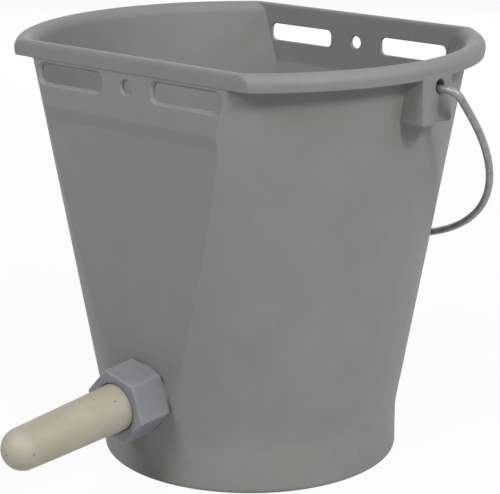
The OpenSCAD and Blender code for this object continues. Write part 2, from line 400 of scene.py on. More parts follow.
def foot_r(z):
    """Radius low on the wall, where the straight foot runs into the leaning wall."""
    gap, ease, sink = wall_r(z) - FOOT_R, 0.5, 0.12
    return FOOT_R + (gap + math.hypot(gap, ease)) / 2 - sink


def bucket_skin():
    rows = []
    low = level(wall_r(FLAT_FROM), face_y(FLAT_FROM), CORNER, FLAT_FROM)
    # Underside with a shallow recess inside the foot's ring
    for radius, z in [(2.2, 0.9), (2.6, 1.3), (6.0, 1.4), (40.0, 1.4), (79.0, 1.4), (80.4, 1.25),
                      (81.4, 0.8), (82.1, 0.3), (83.2, 0.02), (85.0, 0.0), (87.5, 0.0)]:
        rows.append(ring(low, radius, z))
    for radius, z in bend((FOOT_R - FOOT_ROUND, FOOT_ROUND), FOOT_ROUND, -90, 0, 7):
        rows.append(ring(low, radius, z))
    for z in (8, 14, 19, 23, 25.5, 27.5, 29.5, 31.5, 34, 37, 40, 43):
        rows.append(polar(low, foot_r(z), face_y(z), z))
    # Wall and flats up to the rim
    for z in WALL_HEIGHTS:
        rows.append(level(wall_r(z), face_y(z), CORNER, z))
    # Channel under the lip on the round sides, plain underside of the rim along the flats
    foot_of_lip = quadrant(wall_r(CHANNEL_Z), BAND_Y, CORNER)
    edge_of_lip = quadrant(LIP_EDGE_R, RIM_Y - LIP_EDGE_INSET, RIM_CORNER)
    # Radius and height on the round sides; share of the way to the rim's edge and height on the flats
    channel = [(wall_r(CHANNEL_Z), CHANNEL_Z, 0.0, CHANNEL_Z), (wall_r(252.0), 252.0, 0.02, 249.4),
               (wall_r(255.0), 255.0, 0.1, 249.75), (132.1, 256.4, 0.25, 249.93), (133.3, 256.9, 0.4, LIP_Z),
               (136.2, 256.9, 0.5, LIP_Z), (137.5, 256.4, 0.6, LIP_Z), (137.9, 255.2, 0.7, LIP_Z),
               (138.0, 251.2, 0.8, LIP_Z), (138.2, 250.4, 0.88, LIP_Z), (138.8, LIP_Z, 0.95, LIP_Z)]
    start_r = np.linalg.norm(foot_of_lip[ARC])
    for radius, round_z, share, flat_z in channel:
        points = foot_of_lip + (edge_of_lip - foot_of_lip) * share
        heights = np.full(len(points), flat_z)
        t = (radius - start_r) / (LIP_EDGE_R - start_r)
        last = foot_of_lip[ARC] + (edge_of_lip[ARC] - foot_of_lip[ARC]) * t
        end = math.atan2(last[1], last[0])
        for i in range(ARC + 1):
            points[i] = (radius * math.cos(end * i / ARC), radius * math.sin(end * i / ARC))
            heights[i] = round_z
        points[ARC] = last
        rows.append(all_round(points, heights))
    # Lip: a lower edge, a short skirt and a roll over the top; on the flats a face that leans out a little
    for radius, inset, round_z, flat_z in [(LIP_EDGE_R, LIP_EDGE_INSET, LIP_Z, LIP_Z), (140.2, 0.95, 250.2, 250.14),
                                           (140.4, 0.85, 250.7, 250.5), (140.68, 0.7, 252.5, 251.6)]:
        rows.append(level(radius, RIM_Y - inset, RIM_CORNER, round_z, flat_z))
    insets = [0.58, 0.42, 0.27, 0.12, 0.0, 0.0, 0.12, 0.4, 0.75, 1.15]
    tops = [252.5, 253.8, 255.0, 256.2, 257.3, 258.6, 259.4, 259.82, 259.97, BUCKET_H]
    for step, (inset, top) in enumerate(zip(insets, tops)):
        a = math.radians(10 * step)
        round_z = ROLL_Z + ROLL_B * math.sin(a)
        rows.append(level(ROLL_R + ROLL_A * math.cos(a), RIM_Y - inset, RIM_CORNER + 0.3 * step, round_z, top))
    # Flare down into the inside
    flare_z = BUCKET_H - FLARE_R
    flare_x = inside_r(flare_z + FLARE_R * math.sin(WALL_LEAN)) + FLARE_R * math.cos(WALL_LEAN)
    flare = bend((flare_x, flare_z), FLARE_R, 100, 180 - math.degrees(WALL_LEAN), 7)
    reaches = [1.5, 0.9, 0.5, 0.2, 0.05, 0.0, 0.0, 0.0]
    tops = [BUCKET_H, 259.95, 259.75, 259.4, 258.8, 257.6, 255.5, 253.4]
    for (radius, z), reach, top in zip(flare, reaches, tops):
        rows.append(level(radius, BAND_Y - WALL_T + reach, MOUTH_CORNER, z, top))
    for z in INSIDE_HEIGHTS:
        rows.append(level(inside_r(z), face_y(z) - WALL_T, INNER_CORNER, z))
    low = rows[-1]
    for z in (43, 40, 37, 33, 28, 21, 14):
        rows.append(polar(low, inside_r(z), face_y(z) - WALL_T, z))
    round_r = inside_r(FLOOR_T + FLOOR_FILLET) - FLOOR_FILLET
    for radius, z in bend((round_r, FLOOR_T + FLOOR_FILLET), FLOOR_FILLET, 0, -90, 7):
        rows.append(ring(low, radius, z))
    for radius in (60.0, 30.0, 8.0):
        rows.append(ring(low, radius, FLOOR_T))
    verts, quads = grid(rows, first_cap=True, last_cap=True)
    return clean(new_object("bucket_skin", verts, quads))


# Radius of the rounded edge of a hole, and how deep the ears' roots lie in the wall
HOLE_EASE = 0.7
EAR_SINK = 1.5


def slot_outline(length, height, corner, grow, steps=7):
    """A slot with round corners in its own plane."""
    corner += grow
    points = []
    for sx, sy, start in ((1, -1, -90), (1, 1, 0), (-1, 1, 90), (-1, -1, 180)):
        cx, cy = sx * (length / 2 + grow - corner), sy * (height / 2 + grow - corner)
        for i in range(steps + 1):
            a = math.radians(start + 90 * i / steps)
            points.append((cx + corner * math.cos(a), cy + corner * math.sin(a)))
    return points


def hanger_cutter(x, z, length, height, corner, side, bevel=1.15, step=0.4):
    """A cutter with a bevel and a small step outside and a rounded edge inside, as the moulded hole has."""
    outer, inner, beyond = BAND_Y, BAND_Y - WALL_T, 4.0
    wide, seat = step + bevel, outer - bevel
    spots = [(outer + beyond, wide), (outer - 0.02, wide), (outer - 0.3, wide - 0.22), (seat + 0.15, step + 0.1),
             (seat, step), (seat - 0.03, 0.06), (seat - 0.15, 0.0)]
    turns = [math.radians(a) for a in (80, 60, 40, 18)]
    spots += [(inner + HOLE_EASE * (1 - math.cos(a)), HOLE_EASE * (1 - math.sin(a))) for a in turns]
    spots += [(inner - beyond, HOLE_EASE * (1 - math.sin(turns[-1])))]
    rows = []
    for y, grow in spots:
        rows.append([(x + u, side * y, z + v) for u, v in slot_outline(length, height, corner, grow)])
    verts, faces = grid(rows, True, True)
    return clean(new_object("cutter", verts, faces))


def ear_shape(side):
    """A block under the lip whose face is scooped out below the bail hole, with eased edges."""
    skirt = ROLL_R + ROLL_A

    def plan(z, depth, shrink, face_r, root_r):
        front, back = -EAR_FRONT + shrink, EAR_BACK - shrink
        face_r -= shrink
        half = math.sqrt(SCOOP_R ** 2 - (SCOOP_R - depth) ** 2)
        first, last = SCOOP_SHIFT - half, min(SCOOP_SHIFT + half, back - 1.0)

        def face(y):
            return math.sqrt(face_r ** 2 - y ** 2)

        points = [(math.sqrt(root_r ** 2 - front ** 2), front - 1.2), (face(front) - 5.0, front - 0.5),
                  (face(front) - 1.0, front), (face(front) - 0.3, front + 0.3)]
        points += [(face(y), y) for y in np.linspace(front + 1.0, first, 7)]
        for t in np.linspace(0.0, 1.0, 17)[1:-1]:
            y = first + (last - first) * t
            points.append((face(y) - depth * 0.85 * math.sin(math.pi * t) ** 1.5, y))
        points += [(face(last), last), (face(back) - 0.3, back - 0.3), (face(back) - 1.0, back),
                   (face(back) - 5.0, back + 0.5), (math.sqrt(root_r ** 2 - back ** 2), back + 1.2)]
        return [(side * x, y, z) for x, y in points]

    rows = []
    plain = 0.02
    for lift, depth, shrink in [(0.0, SCOOP_DEPTH, 1.0), (0.12, SCOOP_DEPTH, 0.55), (0.45, SCOOP_DEPTH, 0.16),
                                (1.0, SCOOP_DEPTH, 0.0), (4.0, 4.9, 0), (7.5, 4.4, 0), (10.5, 3.5, 0),
                                (13.0, 2.4, 0), (15.0, 1.3, 0), (16.2, 0.6, 0), (16.8, 0.15, 0), (17.0, plain, 0)]:
        rows.append(plan(EAR_Z + lift, depth, shrink, skirt, wall_r(EAR_Z + lift) - EAR_SINK))
    # Up into the lip's roll, which hides the ear's top
    for z, inset, least_r in [(245, 0, 0), (249.5, 0, 0), (250.7, 0, 0), (251.3, 0.08, 0), (254, 0.5, 0),
                              (256.5, 1.6, 132.5), (258, 2.6, 132.5)]:
        rows.append(plan(z, plain, 0, skirt - inset, max(wall_r(z) - EAR_SINK, least_r)))
    verts, faces = grid(rows, True, True)
    ear = clean(new_object("ear", verts, faces))
    turns = [math.radians(a) for a in (14, 34, 54, 74)]
    hole_end = wall_r(EAR_HOLE_Z + EAR_HOLE_R) + EAR_HOLE_SKIN
    profile = [(EAR_HOLE_R + HOLE_EASE * (1 - math.sin(turns[0])), RIM_R + 6.0)]
    profile += [(EAR_HOLE_R + HOLE_EASE * (1 - math.sin(a)), skirt - 0.04 - HOLE_EASE * (1 - math.cos(a)))
                for a in turns]
    profile += [(EAR_HOLE_R, skirt - 0.8), (EAR_HOLE_R, hole_end + 0.8), (EAR_HOLE_R - 0.8, hole_end)]
    points = lathe(profile, 40)
    points = np.stack([side * points[..., 2], points[..., 0], points[..., 1] + EAR_HOLE_Z], axis=-1)
    verts, faces = grid(points, True, True)
    return boolean(ear, clean(new_object("cutter", verts, faces)), "DIFFERENCE")


def make_bucket():
    skin = bucket_skin()
    for side in (1, -1):
        skin = boolean(skin, ear_shape(side), "UNION")
    pad_r = HIDDEN_R + 0.2
    pad = plug([(pad_r, -WALL_T / 2), (pad_r, -0.3), (pad_r - 0.1, -0.08), (pad_r - 0.3, 0.0)])
    skin = boolean(skin, pad, "UNION")
    cutters = []
    for side in (-1, 1):
        for x in (-SLOT_SPACING / 2, SLOT_SPACING / 2):
            cutters.append(hanger_cutter(x, SLOT_Z, SLOT_LEN, SLOT_H, SLOT_ROUND, side))
        across = HOOK_HOLE_R * 2
        cutters.append(hanger_cutter(0.0, SLOT_Z, across, across, HOOK_HOLE_R, side, bevel=0.8, step=0.25))
    seat_r = FLANGE_R + PASS_GAP
    cutters.append(plug([(seat_r, -WALL_T - FLANGE_R), (seat_r, -WALL_T), (PORT_R, -WALL_T), (PORT_R, FLANGE_R)]))
    skin = boolean(skin, join(cutters, "cutters"), "DIFFERENCE")
    skin.name = skin.data.name = "bucket"
    return smooth(clean(skin))


# Union nut
def circle(angle, radius, z):
    """A row of points about +Z; the radius may change from point to point."""
    return np.column_stack([np.cos(angle) * radius, np.sin(angle) * radius, np.full(len(angle), z)])


def groove(angle, z):
    """Share of the thread's depth at a height, as its one groove winds round."""
    phase = (z / THREAD_PITCH - angle / (2 * math.pi)) % 1.0
    return np.clip(1.6 - np.abs(phase - 0.5) * 5.0, 0.0, 1.0)


def hexagon(half, ease, limit, sides=5, corner=5):
    """A hexagon with rounded corners, whose points reach no further than a radius."""
    points = []
    tip = half / math.cos(math.radians(30)) - ease / math.cos(math.radians(30))

    def spot(way, a):
        return tip * math.cos(way) + ease * math.cos(a), tip * math.sin(way) + ease * math.sin(a)

    for k in range(6):
        way = NUT_TURN + math.radians(60 * k)
        arc = [spot(way, way + math.radians(-30 + 60 * i / corner)) for i in range(corner + 1)]
        ahead = way + math.radians(60)
        target = spot(ahead, ahead - math.radians(30))
        points += arc
        points += [tuple(np.array(arc[-1]) + (np.array(target) - arc[-1]) * i / sides) for i in range(1, sides)]
    points = np.array(points)
    far = np.linalg.norm(points, axis=1)
    return points * np.minimum(1.0, limit / far)[:, None]


def make_nut():
    ease, no_limit = 1.5, 30.0
    base = hexagon(NUT_HALF_AF, ease, no_limit)
    angle = np.arctan2(base[:, 1], base[:, 0])

    def hexa(half, z, limit=no_limit):
        return np.column_stack([hexagon(half, ease, limit), np.full(len(base), z)])

    rows = [circle(angle, NUT_BORE_R + 0.9, WASHER_T), circle(angle, 18.2, WASHER_T)]
    for inset, rise in [(0.65, 0.0), (0.3, 0.08), (0.08, 0.3), (0.0, 0.7), (0.0, 5.0), (0.0, 11.0), (0.0, 17.0)]:
        rows.append(hexa(NUT_HALF_AF - inset, WASHER_T + rise))
    for half, z in bend((NUT_HALF_AF - ease, NUT_FRONT - ease), ease, 0, 90, 7):
        rows.append(hexa(half, z, NUT_CORNER_R - NUT_CHAMFER + (NUT_FRONT - z) * 1.1))
    rows.append(hexa(NUT_HALF_AF - 2.4, NUT_FRONT))
    rows += [circle(angle, radius, z) for radius, z in [
        (16.4, NUT_FRONT), (15.6, NUT_FRONT - 0.04), (15.05, NUT_FRONT - 0.22), (TEAT_PASS_R + 0.1, NUT_FRONT - 0.5),
        (TEAT_PASS_R, NUT_FRONT - 1.0), (TEAT_PASS_R, NUT_ROOM_TO), (NUT_ROOM_R, NUT_ROOM_TO),
        (NUT_ROOM_R, NUT_ROOM_FROM)]]
    # Thread: one groove that winds through the bore, cut outwards
    steps, depth = 52, 0.85
    for k in range(steps + 1):
        z = NUT_ROOM_FROM - 0.2 - (NUT_ROOM_FROM - 0.2 - WASHER_T - 0.5) * k / steps
        rows.append(circle(angle, NUT_BORE_R + depth * groove(angle, z), z))
    verts, faces = grid(to_port(rows), closed=True)
    return smooth(clean(new_object("nut", verts, faces)), 50.0)


# Valve body with its threaded spigot
def make_valve():
    count = 96
    angle = np.arange(count) * 2 * math.pi / count
    flange = [(INLET_R, INLET_END), (INLET_R, FLANGE_FRONT + 0.9), (INLET_R + 0.3, FLANGE_FRONT + 0.25),
              (INLET_R + 0.9, FLANGE_FRONT), (14.0, FLANGE_FRONT), (14.6, FLANGE_FRONT + 0.12),
              (15.0, FLANGE_FRONT + 0.5), (15.4, FLANGE_FRONT + 0.8), (16.0, FLANGE_FRONT + 0.9)]
    flange += bend((FLANGE_R - 1.0, FLANGE_FRONT + 1.9), 1.0, -90, 0, 5)
    flange += [(FLANGE_R, FLANGE_BACK - 0.4), (FLANGE_R - 0.15, FLANGE_BACK - 0.1), (FLANGE_R - 0.5, FLANGE_BACK),
               (SPIGOT_R, FLANGE_BACK), (SPIGOT_R, 1.0)]
    rows = [circle(angle, radius, z) for radius, z in flange]
    # Thread: one groove that starts shallow and winds to the spigot's end
    steps, depth, thread_from, thread_to = 60, 0.9, 1.2, SPIGOT_LEN - 0.9
    for k in range(steps + 1):
        z = thread_from + (thread_to - thread_from) * k / steps
        fade = min(1.0, k / 6.0)
        rows.append(circle(angle, SPIGOT_R - depth * fade * groove(angle, z), z))
    rows += [circle(angle, radius, z) for radius, z in [
        (15.0, SPIGOT_LEN - 0.15), (14.6, SPIGOT_LEN), (RETAINER_R + 0.4, SPIGOT_LEN),
        (RETAINER_R, SPIGOT_LEN - 0.3), (RETAINER_R, RETAINER_SEAT), (CHAMBER_R, RETAINER_SEAT),
        (CHAMBER_R, INLET_END)]]
    verts, faces = grid(to_port(rows), closed=True)
    return smooth(clean(new_object("valve", verts, faces)), 45.0)


# Small turned pieces of the valve
def flat_ring(name, radius, start, end, ease):
    """A flat ring round the port, its outer edges rounded and its inner ones bevelled."""
    bevel = 0.2
    profile = [(PORT_R, start + bevel), (PORT_R + bevel, start)]
    profile += bend((radius - ease, start + ease), ease, -90, 0, 4)
    profile += bend((radius - ease, end - ease), ease, 0, 90, 4)
    profile += [(PORT_R + bevel, end), (PORT_R, end - bevel)]
    return smooth(turned(name, profile, 96), 50.0)


def make_washer():
    return flat_ring("washer", HIDDEN_R, 0.0, WASHER_T, 0.35)


def make_gasket():
    return flat_ring("gasket", FLANGE_R - GASKET_INSET, FLANGE_BACK, -WALL_T, 0.5)


def make_ball():
    """A moulded ball with the fine groove of its parting line."""
    profile = []
    half, depth = 2.2, 0.09
    turns = np.concatenate([np.linspace(-89, -4, 22), [-half, -1.2, 0.0, 1.2, half], np.linspace(4, 89, 22)])
    for a in np.radians(turns):
        radius = BALL_R - depth * max(0.0, 1.0 - abs(math.degrees(a)) / half)
        profile.append((radius * math.cos(a), BALL_REST + radius * math.sin(a)))
    return smooth(plug(profile, 64), 60.0)


def make_retainer():
    """A ring pushed into the spigot, with two crossed bars that keep the ball in."""
    outer, end = RETAINER_R - THREAD_GAP, RETAINER_SEAT + RETAINER_T
    profile = [(CHAMBER_R, RETAINER_SEAT + 0.3), (CHAMBER_R + 0.3, RETAINER_SEAT), (outer - 0.4, RETAINER_SEAT),
               (outer - 0.1, RETAINER_SEAT + 0.12), (outer, RETAINER_SEAT + 0.45), (outer, end - 0.45),
               (outer - 0.1, end - 0.12), (outer - 0.4, end), (CHAMBER_R + 0.4, end), (CHAMBER_R + 0.1, end - 0.12),
               (CHAMBER_R, end - 0.45)]
    whole = turned("retainer", profile, 72)
    half, middle = (CHAMBER_R + RETAINER_R) / 2, RETAINER_SEAT + BAR_T / 2
    for across in (False, True):
        rows = []
        for x in (-half, half):
            row = [(x, u, middle + v) for u, v in slot_outline(BAR_W, BAR_T - 0.02, 0.45, 0.0, 4)]
            rows.append([(-u, v, w) if across else (v, u, w) for v, u, w in row])
        verts, faces = grid(to_port(np.array(rows)), True, True)
        whole = boolean(whole, clean(new_object("bar", verts, faces)), "UNION")
    return smooth(clean(whole), 40.0)


# Teat, turned and then made a little uneven, always inwards
def make_teat():
    inner_r = TEAT_TIP_R - TEAT_WALL
    profile = [(TEAT_ROOT_R - TEAT_WALL, TEAT_SEAT), (TEAT_FLANGE_R - 0.4, TEAT_SEAT),
               (TEAT_FLANGE_R - 0.1, TEAT_SEAT + 0.1), (TEAT_FLANGE_R, TEAT_SEAT + 0.5),
               (TEAT_FLANGE_R, TEAT_FLANGE_END - 0.5), (TEAT_FLANGE_R - 0.15, TEAT_FLANGE_END - 0.12),
               (TEAT_FLANGE_R - 0.5, TEAT_FLANGE_END), (TEAT_ROOT_R + 0.3, TEAT_FLANGE_END),
               (TEAT_ROOT_R, TEAT_FLANGE_END + 0.5)]
    skin_from = len(profile)
    for z in np.linspace(TEAT_FLANGE_END + 1.5, TEAT_ROUND_AT, 64):
        t = max(0.0, (z - NUT_FRONT) / (TEAT_ROUND_AT - NUT_FRONT))
        profile.append((TEAT_ROOT_R + (TEAT_TIP_R - TEAT_ROOT_R) * t, z))
    last = math.degrees(math.acos(MILK_HOLE_R / TEAT_TIP_R))
    profile += bend((0.0, TEAT_ROUND_AT), TEAT_TIP_R, 4, last, 20)
    skin_to = len(profile)
    # The mouth of the milk hole, nearly closed as in soft rubber
    top = profile[-1][1]
    profile += [(MOUTH_R + 0.5, top - 0.02), (MOUTH_R + 0.15, top - 0.2), (MOUTH_R, top - 0.6),
                (MOUTH_R, top - 1.2), (MILK_HOLE_R, top - 2.0)]
    first = math.degrees(math.acos(MILK_HOLE_R / inner_r))
    profile += bend((0.0, TEAT_ROUND_AT), inner_r, first, 0, 8)
    rows = lathe(profile, 88)
    for j in range(skin_from, skin_to):
        for i in range(rows.shape[1]):
            x, y, z = rows[j, i]
            ridge = noise.noise(Vector((x * 0.03, y * 0.03, z * 0.55 + 3.0)))
            lump = noise.noise(Vector((x * 0.09 + 5.0, y * 0.09, z * 0.05)))
            fine = noise.noise(Vector((x * 0.35, y * 0.35, z * 0.4 + 9.0)))
            dent = 0.10 + 0.07 * ridge + 0.09 * lump + 0.04 * fine
            share = min(1.0, max(0.0, (z - NUT_FRONT) / 4.0))
            for axis, reach in enumerate((x, y)):
                rows[j, i, axis] -= reach / TEAT_TIP_R * max(dent, 0.0) * share
    verts, faces = grid(to_port(rows), closed=True)
    return smooth(clean(new_object("teat_rubber", verts, faces)), 50.0)


# Bail: one wire bent in a plane, its pivot ends in the ears
def make_bail():
    tip = wall_r(EAR_HOLE_Z + EAR_HOLE_R) + EAR_HOLE_SKIN + SEAT_GAP
    bend_x = BAIL_HALF_W - BAIL_BEND_R
    half = [(tip, 0.0), (tip + 4.0, 0.0), (tip + 9.0, 0.0)]
    half += [(bend_x + BAIL_BEND_R * math.sin(a), BAIL_BEND_R - BAIL_BEND_R * math.cos(a))
             for a in np.linspace(0, math.pi / 2, 13)]
    half += [(BAIL_HALF_W, 10.0), (BAIL_HALF_W, 15.0)]
    half += [(BAIL_HALF_W * math.cos(a), BAIL_LEG + BAIL_HALF_W * math.sin(a))
             for a in np.linspace(0, math.pi / 2, 61)]
    path = np.array(half + [(-x, y) for x, y in half[::-1][1:]])
    way = np.gradient(path, axis=0)
    way /= np.linalg.norm(way, axis=1)[:, None]
    count = 20
    angle = np.arange(count) * 2 * math.pi / count

    def loop(k, radius, shift):
        centre = path[k] + way[k] * shift
        across = np.array((-way[k][1], way[k][0]))
        flat = centre[None, :] + radius * np.cos(angle)[:, None] * across[None, :]
        return np.column_stack([flat, radius * np.sin(angle)])

    # Rounded ends: how much thinner the wire is at a distance from its end
    ends = [(0.5, 0.0), (0.15, 0.15), (0.0, 0.5)]
    rows = [loop(0, WIRE_R - less, along) for less, along in ends]
    rows += [loop(k, WIRE_R, 0.0) for k in range(1, len(path) - 1)]
    rows += [loop(-1, WIRE_R - less, -along) for less, along in ends[::-1]]
    rows = np.array(rows)
    tilt = math.radians(90.0) - BAIL_SWING
    y, z = rows[..., 1].copy(), rows[..., 2].copy()
    rows[..., 1] = y * math.cos(tilt) - z * math.sin(tilt)
    rows[..., 2] = y * math.sin(tilt) + z * math.cos(tilt) + PIVOT_Z
    verts, faces = grid(rows, True, True)
    return smooth(clean(new_object("bail_wire", verts, faces)), 50.0)


# Materials
class Shader:
    """A principled material whose patterns are read from the piece's own coordinates."""

    def __init__(self, name, **sockets):
        self.material = bpy.data.materials.new(name)
        self.material.use_nodes = True
        self.tree = self.material.node_tree
        self.bsdf = self.tree.nodes["Principled BSDF"]
        self.where = self.tree.nodes.new("ShaderNodeTexCoord").outputs["Object"]
        for socket, value in sockets.items():
            self.bsdf.inputs[socket.replace("_", " ")].default_value = value

    def node(self, kind, **inputs):
        node = self.tree.nodes.new(kind)
        for socket, value in inputs.items():
            self.feed(node.inputs[socket.replace("_", " ")], value)
        return node

    def feed(self, socket, value):
        if isinstance(value, bpy.types.NodeSocket):
            self.tree.links.new(value, socket)
        else:
            socket.default_value = value

    def stretched(self, x, y, z):
        node = self.node("ShaderNodeVectorMath", Vector=self.where)
        node.operation = "MULTIPLY"
        node.inputs[1].default_value = (x, y, z)
        return node.outputs[0]

    def noise(self, scale, detail=3.0, rough=0.5, where=None, distort=0.0):
        return self.node("ShaderNodeTexNoise", Vector=where or self.where, Scale=scale, Detail=detail,
                         Roughness=rough, Distortion=distort).outputs["Fac"]

    def ramp(self, fac, low, high, start=0.0, end=1.0):
        """Maps a value from low..high to start..end, held at both ends."""
        node = self.node("ShaderNodeMapRange", Value=fac)
        for socket, value in (("From Min", low), ("From Max", high), ("To Min", start), ("To Max", end)):
            node.inputs[socket].default_value = value
        return node.outputs["Result"]

    def mix(self, fac, a, b):
        node = self.tree.nodes.new("ShaderNodeMix")
        node.data_type = "RGBA"
        self.feed(node.inputs[0], fac)
        self.feed(node.inputs[6], a)
        self.feed(node.inputs[7], b)
        return node.outputs[2]

    def math(self, operation, a, b):
        node = self.tree.nodes.new("ShaderNodeMath")
        node.operation = operation
        self.feed(node.inputs[0], a)
        self.feed(node.inputs[1], b)
        return node.outputs[0]

    def height(self):
        return self.node("ShaderNodeSeparateXYZ", Vector=self.where).outputs["Z"]

    def attribute(self, name):
        node = self.tree.nodes.new("ShaderNodeAttribute")
        node.attribute_name = name
        return node.outputs["Fac"]

    def bump(self, fac, strength, distance, normal=None):
        node = self.node("ShaderNodeBump", Height=fac)
        node.inputs["Strength"].default_value = strength
        node.inputs["Distance"].default_value = distance
        if normal is not None:
            self.tree.links.new(normal, node.inputs["Normal"])
        return node.outputs["Normal"]

    def surface(self, colour, roughness, normal):
        for socket, value in (("Base Color", colour), ("Roughness", roughness), ("Normal", normal)):
            self.feed(self.bsdf.inputs[socket], value)
        return self

    def wear(self, obj):
        obj.data.materials.clear()
        obj.data.materials.append(self.material)
        return obj


def srgb(r, g, b):
    """A colour as a picture shows it, for a shader."""
    return tuple(c / 12.92 if c <= 0.04045 else ((c + 0.055) / 1.055) ** 2.4
                 for c in (r / 255, g / 255, b / 255)) + (1.0,)


def bucket_plastic():
    s = Shader("bucket_plastic", Specular_IOR_Level=0.15)
    cloud = s.noise(9.0, 4.0, 0.55)
    patch = s.noise(48.0, 4.0, 0.6)
    grain = s.noise(900.0, 2.0, 0.6)
    streak = s.noise(1.0, 3.0, 0.6, s.stretched(230.0, 230.0, 7.0))
    tint = s.mix(s.ramp(cloud, 0.3, 0.7), srgb(130, 130, 128), srgb(136, 135, 131))
    tint = s.mix(s.ramp(patch, 0.35, 0.75, 0.0, 0.5), tint, srgb(126, 126, 123))
    tint = s.mix(s.ramp(streak, 0.62, 0.78, 0.0, 0.35), tint, srgb(142, 142, 136))
    tint = s.mix(s.ramp(grain, 0.3, 0.8, 0.0, 0.3), tint, srgb(120, 121, 117))
    # Lighter rub on the rim, a little soil low down
    edge_band = s.math("MULTIPLY", s.ramp(s.height(), 0.2535, 0.2595), s.ramp(s.noise(70.0, 4.0, 0.65), 0.4, 0.75))
    tint = s.mix(s.math("MULTIPLY", edge_band, 0.2), tint, srgb(146, 146, 141))
    soil = s.math("MULTIPLY", s.ramp(s.height(), 0.03, 0.0), s.ramp(s.noise(38.0, 5.0, 0.65), 0.42, 0.72))
    tint = s.mix(s.math("MULTIPLY", soil, 0.35), tint, srgb(108, 106, 98))
    rough = s.ramp(s.noise(110.0, 4.0, 0.6), 0.25, 0.75, 0.46, 0.58)
    wave = s.bump(s.noise(21.0, 2.0, 0.4), 0.12, 0.002)
    return s.surface(tint, rough, s.bump(s.noise(1500.0, 2.0, 0.5), 0.12, 0.0001, wave))


def nut_plastic():
    s = Shader("nut_plastic", Specular_IOR_Level=0.35)
    cloud = s.noise(60.0, 4.0, 0.6)
    grain = s.noise(1300.0, 2.0, 0.5)
    tint = s.mix(s.ramp(cloud, 0.3, 0.7), srgb(121, 122, 129), srgb(128, 129, 135))
    tint = s.mix(s.ramp(grain, 0.35, 0.8, 0.0, 0.35), tint, srgb(114, 115, 121))
    scuff = s.noise(260.0, 5.0, 0.7, distort=0.4)
    tint = s.mix(s.ramp(scuff, 0.6, 0.74, 0.0, 0.3), tint, srgb(138, 139, 143))
    # Corners and front edge lighter: partly rub, partly a painted highlight along the rounded edges
    rub_and_highlight = s.math("MULTIPLY", s.attribute("edge"), s.ramp(s.noise(180.0, 4.0, 0.6), 0.3, 0.7, 0.1, 0.45))
    tint = s.mix(rub_and_highlight, tint, srgb(140, 141, 145))
    rough = s.ramp(s.noise(150.0, 4.0, 0.6), 0.3, 0.7, 0.46, 0.6)
    return s.surface(tint, rough, s.bump(s.noise(1100.0, 3.0, 0.55), 0.15, 0.0001))


def teat_rubber():
    s = Shader("teat_rubber", Subsurface_Weight=0.12, Subsurface_Scale=0.003, Subsurface_Radius=(1.0, 0.6, 0.35))
    cloud = s.noise(38.0, 4.0, 0.6)
    blot = s.noise(95.0, 5.0, 0.65, distort=0.6)
    grain = s.noise(800.0, 3.0, 0.6)
    tint = s.mix(s.ramp(cloud, 0.32, 0.68), srgb(162, 153, 137), srgb(171, 163, 149))
    tint = s.mix(s.ramp(blot, 0.48, 0.7, 0.0, 0.5), tint, srgb(160, 150, 128))
    tint = s.mix(s.ramp(grain, 0.45, 0.75, 0.0, 0.3), tint, srgb(164, 155, 135))
    # Soil lies in the creases; the teat's lower side, below its axis, is darker in patches
    crease = s.noise(1.0, 4.0, 0.65, s.stretched(60.0, 420.0, 60.0))
    tint = s.mix(s.ramp(crease, 0.58, 0.72, 0.0, 0.22), tint, srgb(144, 134, 112))
    under = s.math("MULTIPLY", s.ramp(s.height(), (PORT_Z - 4.0) * MM, (PORT_Z - 17.0) * MM),
                   s.ramp(s.noise(52.0, 4.0, 0.6), 0.45, 0.65))
    tint = s.mix(s.math("MULTIPLY", under, 0.5), tint, srgb(138, 128, 106))
    speck = s.noise(330.0, 2.0, 0.5)
    tint = s.mix(s.ramp(speck, 0.735, 0.77, 0.0, 0.75), tint, srgb(84, 78, 66))
    # One dark nick on the side of the tip, twice as tall as wide
    squash, (nick_x, nick_y, nick_z) = 0.5, (0.0123, -0.1937, 0.0503)
    nick = s.node("ShaderNodeVectorMath", Vector=s.stretched(1.0, 1.0, squash))
    nick.operation = "DISTANCE"
    nick.inputs[1].default_value = (nick_x, nick_y, nick_z * squash)
    tint = s.mix(s.ramp(nick.outputs["Value"], 0.0008, 0.0003, 0.0, 0.75), tint, srgb(96, 86, 70))
    fold = s.bump(crease, 0.25, 0.0004)
    return s.surface(tint, s.ramp(blot, 0.3, 0.7, 0.46, 0.62), s.bump(grain, 0.18, 0.00012, fold))


def galvanised_wire():
    s = Shader("galvanised_wire", Metallic=0.6)
    cell = s.noise(130.0, 3.0, 0.6)
    dull = s.noise(420.0, 4.0, 0.65)
    tint = s.mix(s.ramp(cell, 0.35, 0.65), srgb(136, 137, 136), srgb(154, 155, 154))
    tint = s.mix(s.ramp(dull, 0.5, 0.72, 0.0, 0.6), tint, srgb(98, 99, 97))
    return s.surface(tint, s.ramp(dull, 0.3, 0.7, 0.38, 0.54), s.bump(dull, 0.2, 0.0001))


def valve_plastic():
    s = Shader("valve_plastic")
    cloud = s.noise(70.0, 4.0, 0.6)
    tint = s.mix(s.ramp(cloud, 0.3, 0.7), srgb(211, 210, 203), srgb(222, 221, 216))
    tint = s.mix(s.ramp(s.noise(240.0, 5.0, 0.65), 0.55, 0.75, 0.0, 0.4), tint, srgb(192, 189, 178))
    return s.surface(tint, s.ramp(cloud, 0.3, 0.7, 0.35, 0.48), s.bump(s.noise(1200.0, 2.0, 0.5), 0.1, 0.0001))


def seal_rubber():
    s = Shader("seal_rubber")
    cloud = s.noise(160.0, 4.0, 0.6)
    tint = s.mix(s.ramp(cloud, 0.3, 0.7), srgb(38, 38, 38), srgb(50, 50, 49))
    return s.surface(tint, s.ramp(cloud, 0.3, 0.7, 0.55, 0.7), s.bump(s.noise(1400.0, 3.0, 0.6), 0.2, 0.0001))


